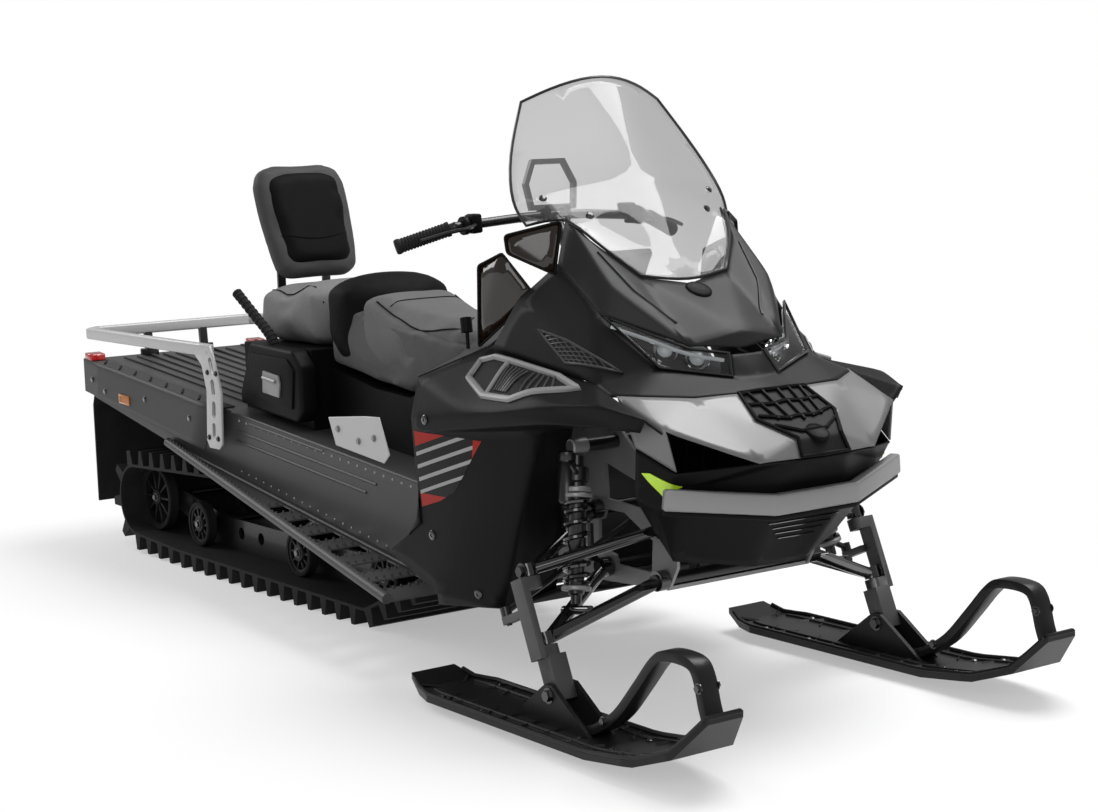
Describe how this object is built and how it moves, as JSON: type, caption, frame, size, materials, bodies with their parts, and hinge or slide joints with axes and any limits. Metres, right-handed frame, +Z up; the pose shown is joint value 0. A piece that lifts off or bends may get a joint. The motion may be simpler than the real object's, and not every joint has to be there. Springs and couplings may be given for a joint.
{
  "type": "two-up utility snowmobile",
  "caption": "Two-up utility snowmobile with steered skis on A-arms, a rubber track in a tunnel, tall windshield, padded seats with backrest and a rear cargo rack.",
  "frame": {"origin": "on the floor below the middle of the whole machine", "axes": "+X to the nose, +Y to the left, +Z up"},
  "size_m": [3.3, 1.12, 1.3716],
  "materials": {
    "tunnel_grey": "satin",
    "cast_grey": "matte",
    "cast_silver": "satin",
    "black_plastic": "matte",
    "dark_plastic": "satin",
    "clear_shield": "clear",
    "lamp_clear": "clear",
    "smoke_brown": "gloss",
    "bumper_grey": "satin",
    "silver_paint": "satin",
    "seat_grey": "matte",
    "seat_black": "matte",
    "black_steel": "satin",
    "black_rubber": "matte",
    "red_lens": "gloss",
    "track_rubber": "matte",
    "wheel_plastic": "satin",
    "gloss_black": "gloss",
    "ski_black": "satin"
  },
  "bodies": {
    "chassis": {"tunnel": "tunnel_grey", "engine": "cast_grey", "front_frame": "cast_silver", "frame_floor": "cast_silver", "frame_tubes": "cast_silver", "post_bearing": "cast_silver", "belly_pan": "black_plastic", "nose_pan": "black_plastic", "console": "dark_plastic", "side_panel_left": "dark_plastic", "side_panel_right": "dark_plastic", "hood": "dark_plastic", "cowl": "dark_plastic", "windshield": "clear_shield", "headlights": "lamp_clear", "wind_deflectors": "smoke_brown", "grille": "black_plastic", "front_bumper": "bumper_grey", "front_fairings": "silver_paint", "foot_guards": "dark_plastic", "running_boards": "tunnel_grey", "rider_seat": "seat_grey", "passenger_seat": "seat_grey", "backrest_pad": "seat_black", "backrest_bracket": "black_steel", "seat_base": "black_plastic", "grab_handles": "black_rubber", "cargo_rack": "silver_paint", "rear_covers": "dark_plastic", "snow_flap": "black_rubber", "tail_lights": "red_lens", "tow_hitch": "black_steel", "track": "track_rubber", "skid_rails": "black_steel", "idler_wheels": "wheel_plastic", "drive_axle": "black_steel", "skid_arms": "black_steel", "upper_arms": "gloss_black", "lower_arms": "gloss_black", "front_shocks": "gloss_black", "dash": "black_plastic", "shift_lever": "black_plastic"},
    "steering": {"handlebar": "black_steel", "grips": "black_rubber", "hand_controls": "black_plastic", "steering_post": "black_steel", "hand_loop": "clear_shield"},
    "knuckle_left": {"knuckle_left": "cast_silver"},
    "knuckle_right": {"knuckle_right": "cast_silver"},
    "ski_left": {"ski_left": "ski_black", "ski_loop_left": "ski_black"},
    "ski_right": {"ski_right": "ski_black", "ski_loop_right": "ski_black"},
    "tie_rod_left": {"tie_rod_left": "black_steel"},
    "tie_rod_right": {"tie_rod_right": "black_steel"}
  },
  "joints": [
    {"name": "handlebar_turn", "type": "hinge", "parent": "chassis", "child": "steering", "pos_m": [0.51, 0, 1.05], "axis": [-0.6018, 0, 0.7986], "range_deg": [-35, 35]},
    {"name": "knuckle_turn_left", "type": "hinge", "parent": "chassis", "child": "knuckle_left", "pos_m": [1.094, 0.465, 0.18], "axis": [-0.3875, 0, 0.9219], "range_deg": [-28, 28]},
    {"name": "tie_rod_turn_left", "type": "hinge", "parent": "knuckle_left", "child": "tie_rod_left", "pos_m": [0.98169, 0.489, 0.23042], "axis": [-0.3875, 0, 0.9219], "range_deg": [-28, 28]},
    {"name": "ski_pitch_left", "type": "hinge", "parent": "knuckle_left", "child": "ski_left", "pos_m": [1.13198, 0.465, 0.09997], "axis": [0, 1, 0], "range_deg": [-25, 12]},
    {"name": "knuckle_turn_right", "type": "hinge", "parent": "chassis", "child": "knuckle_right", "pos_m": [1.094, -0.465, 0.18], "axis": [-0.3875, 0, 0.9219], "range_deg": [-28, 28]},
    {"name": "tie_rod_turn_right", "type": "hinge", "parent": "knuckle_right", "child": "tie_rod_right", "pos_m": [0.98169, -0.489, 0.23042], "axis": [-0.3875, 0, 0.9219], "range_deg": [-28, 28]},
    {"name": "ski_pitch_right", "type": "hinge", "parent": "knuckle_right", "child": "ski_right", "pos_m": [1.13198, -0.465, 0.09997], "axis": [0, 1, 0], "range_deg": [-25, 12]}
  ],
  "couplings": [
    {"joint": "knuckle_turn_left", "follows": "handlebar_turn", "ratio": 0.8},
    {"joint": "tie_rod_turn_left", "follows": "handlebar_turn", "ratio": -0.8},
    {"joint": "knuckle_turn_right", "follows": "handlebar_turn", "ratio": 0.8},
    {"joint": "tie_rod_turn_right", "follows": "handlebar_turn", "ratio": -0.8}
  ]
}
